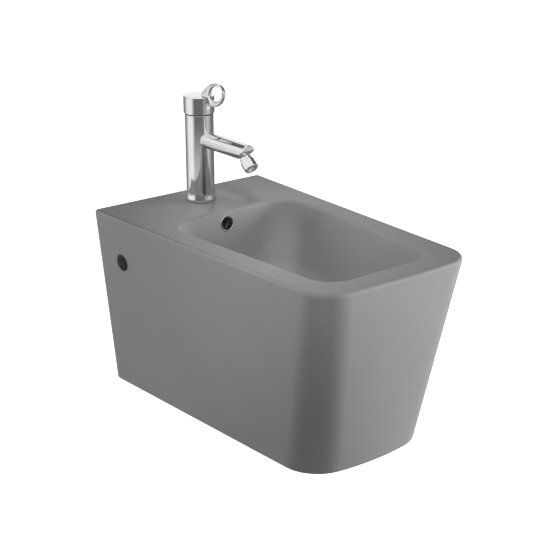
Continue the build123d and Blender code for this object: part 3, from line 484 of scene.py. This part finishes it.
# Name, place, width and height in metres, and watts
panels = [
    ("left_rear_lamp", (-1.15, 1.9, 0.6), (1.0, 1.3), 57),
    ("right_front_low_lamp", (2.1, -1.65, 0.3), (1.2, 1.4), 108),
    ("right_front_high_lamp", (1.9, -1.6, 1.0), (1.2, 1.3), 5),
    ("front_high_lamp", (0.2, -1.9, 1.6), (1.2, 1.2), 2),
]
for name, place, size, watts in panels:
    panel = bpy.data.lights.new(name, "AREA")
    panel.shape = "RECTANGLE"
    panel.size, panel.size_y = size
    panel.energy = watts
    hang(panel, place, MIDDLE)

bowl_lamp = bpy.data.lights.new("bowl_lamp", "SPOT")
bowl_lamp.energy = 440
bowl_lamp.spot_size = radians(9)
bowl_lamp.spot_blend = 1.0
bowl_lamp.shadow_soft_size = 0.2
hang(bowl_lamp, (-0.95, -1.5, 1.4), (0.055, -0.28, 0.0))


def studio_card(name, reach, turns, heights, glows, foot_fade=0.0, top_fade=0.0):
    """A card bent round the tap: so far from its axis (one distance, or one for each edge), between two compass
    angles in degrees and two heights.
    It glows by its angle, from one (angle, glow) to the next, and fades to a middle grey over its foot and to
    white below its upper edge. Only reflections see it, so it shapes the chrome's bands."""
    columns = 60
    across = np.radians(np.linspace(*turns, columns))
    points = np.stack([
        np.column_stack([away * np.cos(across), tap_y + away * np.sin(across), np.full(columns, height)])
        for away, height in zip(np.broadcast_to(reach, 2), heights)
    ])
    foot, top = np.arange(2 * columns).reshape(2, columns)
    quads = np.stack([foot[:-1], foot[1:], top[1:], top[:-1]], -1)
    mesh = bpy.data.meshes.new(name)
    mesh.from_pydata(points.reshape(-1, 3).tolist(), [], quads.tolist())

    finish, nodes, links, shader = new_finish(name)
    place = nodes.new("ShaderNodeTexCoord")
    apart = nodes.new("ShaderNodeSeparateXYZ")
    links.new(place.outputs["Object"], apart.inputs["Vector"])
    behind = worked(nodes, links, "SUBTRACT", apart.outputs["Y"], tap_y)
    angle = worked(nodes, links, "ARCTAN2", behind, apart.outputs["X"])
    ramp = nodes.new("ShaderNodeValToRGB")
    links.new(spread(nodes, links, angle, 0.0, 1.0, -np.pi, np.pi), ramp.inputs["Fac"])
    steps = ramp.color_ramp.elements
    stops = [(degrees + 180) / 360 for degrees, level in glows]
    steps[0].position, steps[-1].position = stops[0], stops[-1]
    for stop in stops[1:-1]:
        steps.new(stop)
    for step, (degrees, level) in zip(steps, glows):
        step.color = (level, level, level, 1)
    glow = ramp.outputs["Color"]
    low, high = heights
    for start, end, level in ((low + foot_fade, low, 0.5), (high - top_fade, high, 1.0)):
        if start != end:
            fade = spread(nodes, links, apart.outputs["Z"], 0.0, 1.0, start, end, "SMOOTHSTEP")
            glow = mixed(nodes, links, fade, glow, (level,) * 3)
    fill(links, shader.inputs["Base Color"], BLACK)
    shader.inputs["Specular IOR Level"].default_value = 0.0
    shader.inputs["Emission Strength"].default_value = 1.0
    links.new(glow, shader.inputs["Emission Color"])
    mesh.materials.append(finish)

    card = bpy.data.objects.new(name, mesh)
    for ray in ("camera", "diffuse", "shadow", "transmission", "volume_scatter"):
        setattr(card, "visible_" + ray, False)
    bpy.context.scene.collection.objects.link(card)


ALL_ROUND = (-180, 180)
CARD_REACH = 0.9
card_floor = floor_z + 0.002
studio_card("low_card", CARD_REACH, ALL_ROUND, (-0.31, 0.40), [
    (-178, 0.72), (-166, 0.6), (-150, 0.54), (-127, 0.54), (-105, 0.48), (-92, 0.36), (-75, 0.44), (-52, 0.66),
    (-36, 0.38), (-14, 0.19), (40, 0.17), (80, 0.18), (95, 0.2), (110, 0.38), (126, 0.72), (140, 1.0), (172, 1.0),
], top_fade=0.16)
studio_card("floor_card", (0.05, CARD_REACH), ALL_ROUND, (card_floor, card_floor), [
    (-178, 0.62), (-130, 0.4), (-75, 0.3), (-10, 0.2), (60, 0.24), (120, 0.5), (178, 0.62),
])
studio_card("camera_side_card", 0.88, (-172, -90), (-0.08, 0.40), [
    (-172, 0.56), (-162, 0.16), (-100, 0.17), (-90, 0.36),
], foot_fade=0.1, top_fade=0.1)
studio_card("rear_high_card", CARD_REACH, (58, 122), (0.30, 1.7), [
    (58, 1.0), (68, 0.07), (106, 0.05), (122, 1.0),
], top_fade=0.35)
studio_card("right_high_card", CARD_REACH, (-66, 46), (0.40, 2.0), [
    (-66, 1.0), (-48, 0.14), (30, 0.12), (46, 1.0),
], top_fade=0.5)

# The camera stands where the photograph was taken from
view = bpy.data.cameras.new("camera")
view.sensor_width = 36.0
view.lens = 85.96
camera = bpy.data.objects.new("camera", view)
camera.location = (-1.2739, -1.8681, 0.7393)
target = Vector((0.0799, -0.1832, -0.0537))
camera.rotation_euler = (target - camera.location).to_track_quat("-Z", "Y").to_euler()
bpy.context.scene.collection.objects.link(camera)
bpy.context.scene.camera = camera

bpy.context.scene.view_settings.view_transform = "Standard"
